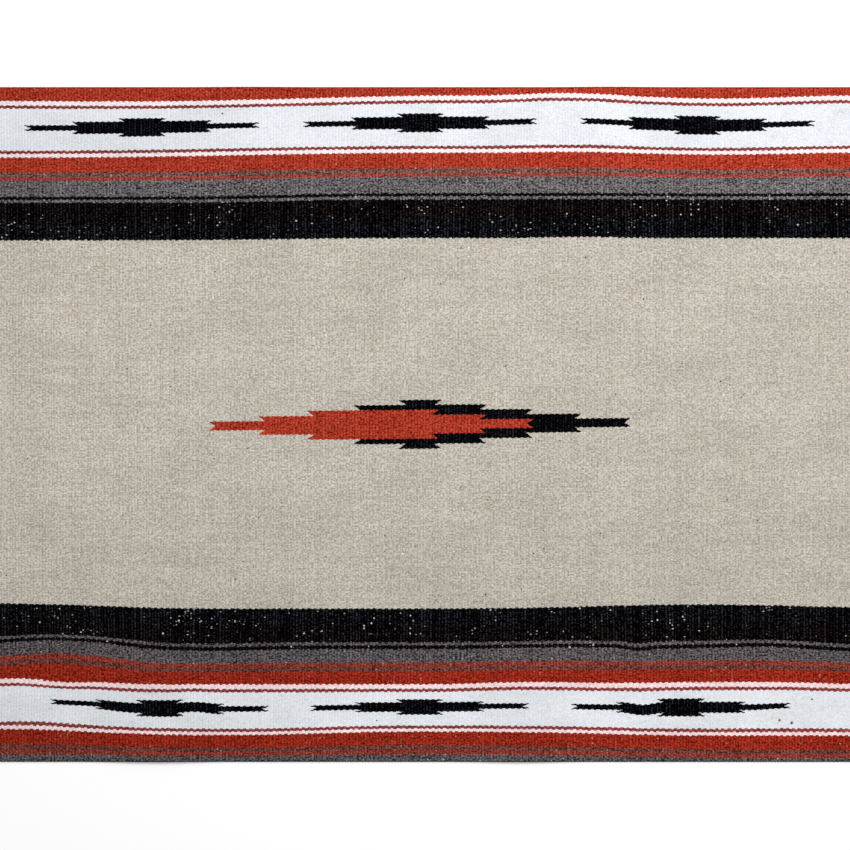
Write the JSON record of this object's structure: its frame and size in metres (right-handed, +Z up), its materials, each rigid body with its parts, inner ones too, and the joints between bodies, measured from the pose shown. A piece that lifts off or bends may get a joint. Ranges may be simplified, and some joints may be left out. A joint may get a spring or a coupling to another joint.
{
  "type": "mexican serape",
  "caption": "Flat rectangular woven wool serape with lengthwise stripes, small lozenges, a central diamond and a knotted fringe at each end.",
  "frame": {"origin": "on the floor under the middle of the web", "axes": "+X along the stripes towards the right fringe, +Y across the stripes towards the far selvage, +Z up off the floor"},
  "size_m": [2.2192, 0.945, 0.0098],
  "materials": {
    "wool_web": "ribbed handwoven wool, matte, heathered",
    "fringe_yarn": "spun wool yarn, matte, slightly fuzzy"
  },
  "bodies": {
    "root": {"woven_web": "wool_web", "knot_row_left": "fringe_yarn", "knot_row_right": "fringe_yarn", "fringe_left": "fringe_yarn", "fringe_right": "fringe_yarn"}
  },
  "joints": []
}
